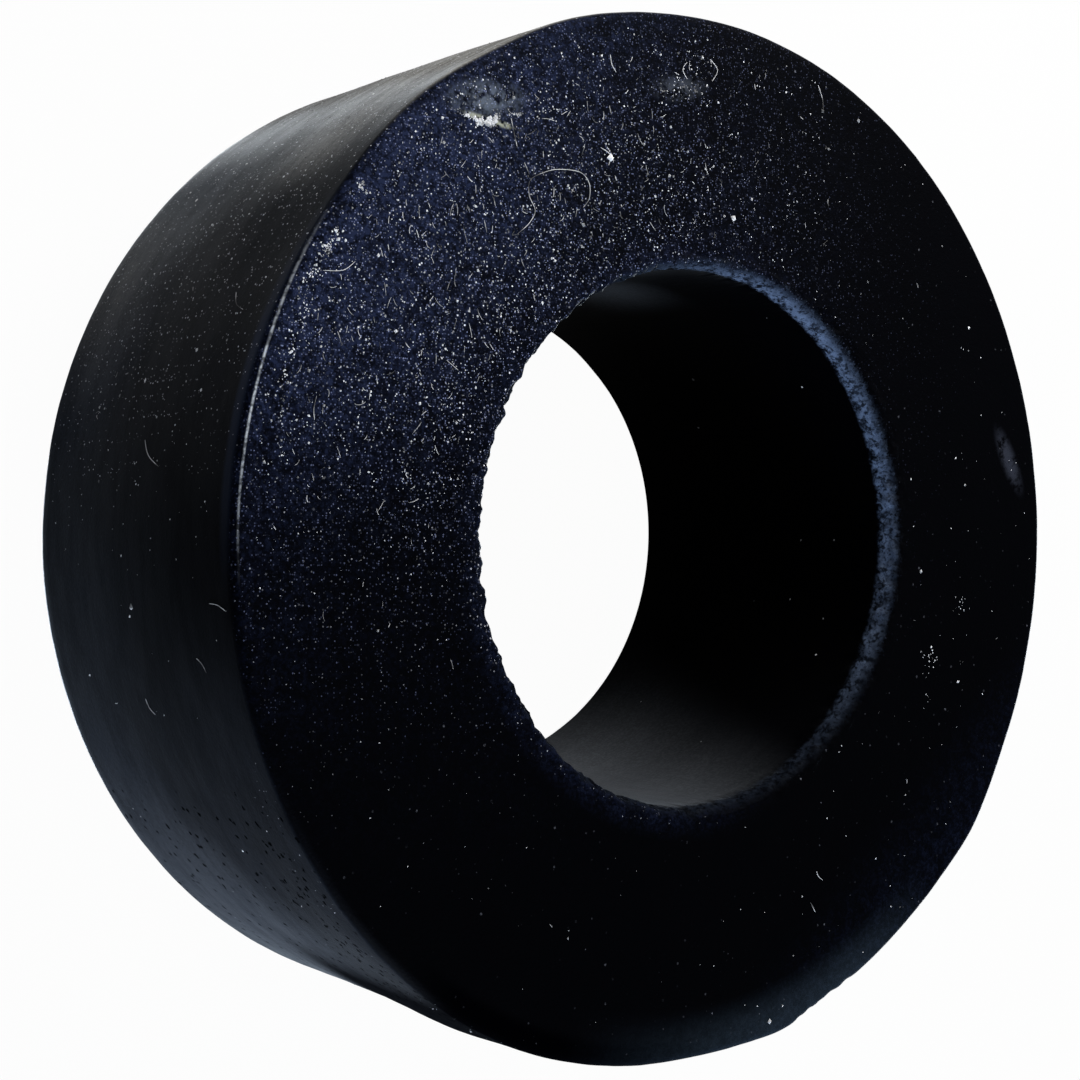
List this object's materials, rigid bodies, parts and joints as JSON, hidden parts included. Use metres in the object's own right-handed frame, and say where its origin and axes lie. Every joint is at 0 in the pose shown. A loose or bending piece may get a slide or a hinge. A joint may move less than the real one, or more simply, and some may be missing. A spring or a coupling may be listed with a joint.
{
  "type": "body mount bushing",
  "caption": "Plain thick rubber ring with flat faces and a wide straight bore, used as a cushion between a vehicle's body and its frame.",
  "frame": {"origin": "middle of the lower flat face, on the bore's axis", "axes": "+Z along the bore's axis, from the lower face to the upper face that the picture shows; X and Y across the ring"},
  "size_m": [0.06, 0.06, 0.0242],
  "materials": {
    "rubber": "matt moulded rubber, dusty and lightly worn"
  },
  "bodies": {
    "root": {"bushing": "rubber"}
  },
  "joints": []
}
